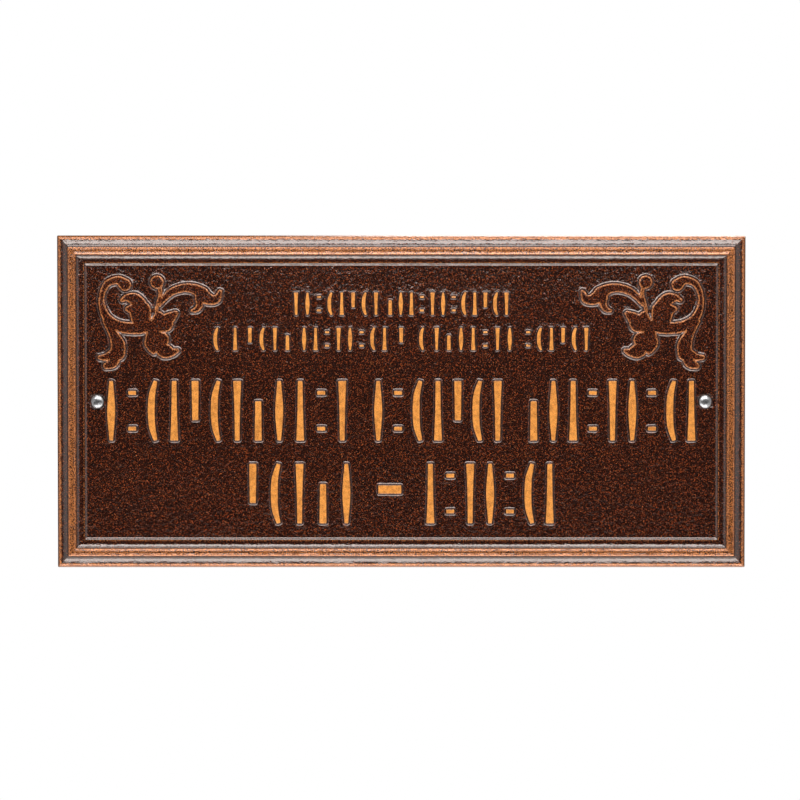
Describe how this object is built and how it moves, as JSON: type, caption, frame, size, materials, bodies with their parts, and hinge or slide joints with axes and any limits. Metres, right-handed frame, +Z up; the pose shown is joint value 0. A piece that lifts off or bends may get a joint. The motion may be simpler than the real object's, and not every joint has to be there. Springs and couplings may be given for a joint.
{
  "type": "commemorative plaque",
  "caption": "Wall plaque, a long rectangle cast with a moulded border, leaf scrolls in its upper corners and rows of raised strokes, held to the wall by screws.",
  "frame": {"origin": "centre of the flat back, in the plane of the wall", "axes": "+X along the plaque to the right as seen from the front, +Y out of the back and into the wall, so that the front faces -Y, +Z up"},
  "size_m": [0.4064, 0.0358, 0.196],
  "materials": {
    "antique_copper": "dark brown and copper powder coat on cast aluminium, rubbed back to copper on the edges, golden orange paint on the raised strokes",
    "screw_steel": "zinc plated, slightly dull"
  },
  "bodies": {
    "root": {"plaque": "antique_copper", "screw_left": "screw_steel", "screw_right": "screw_steel"}
  },
  "joints": []
}
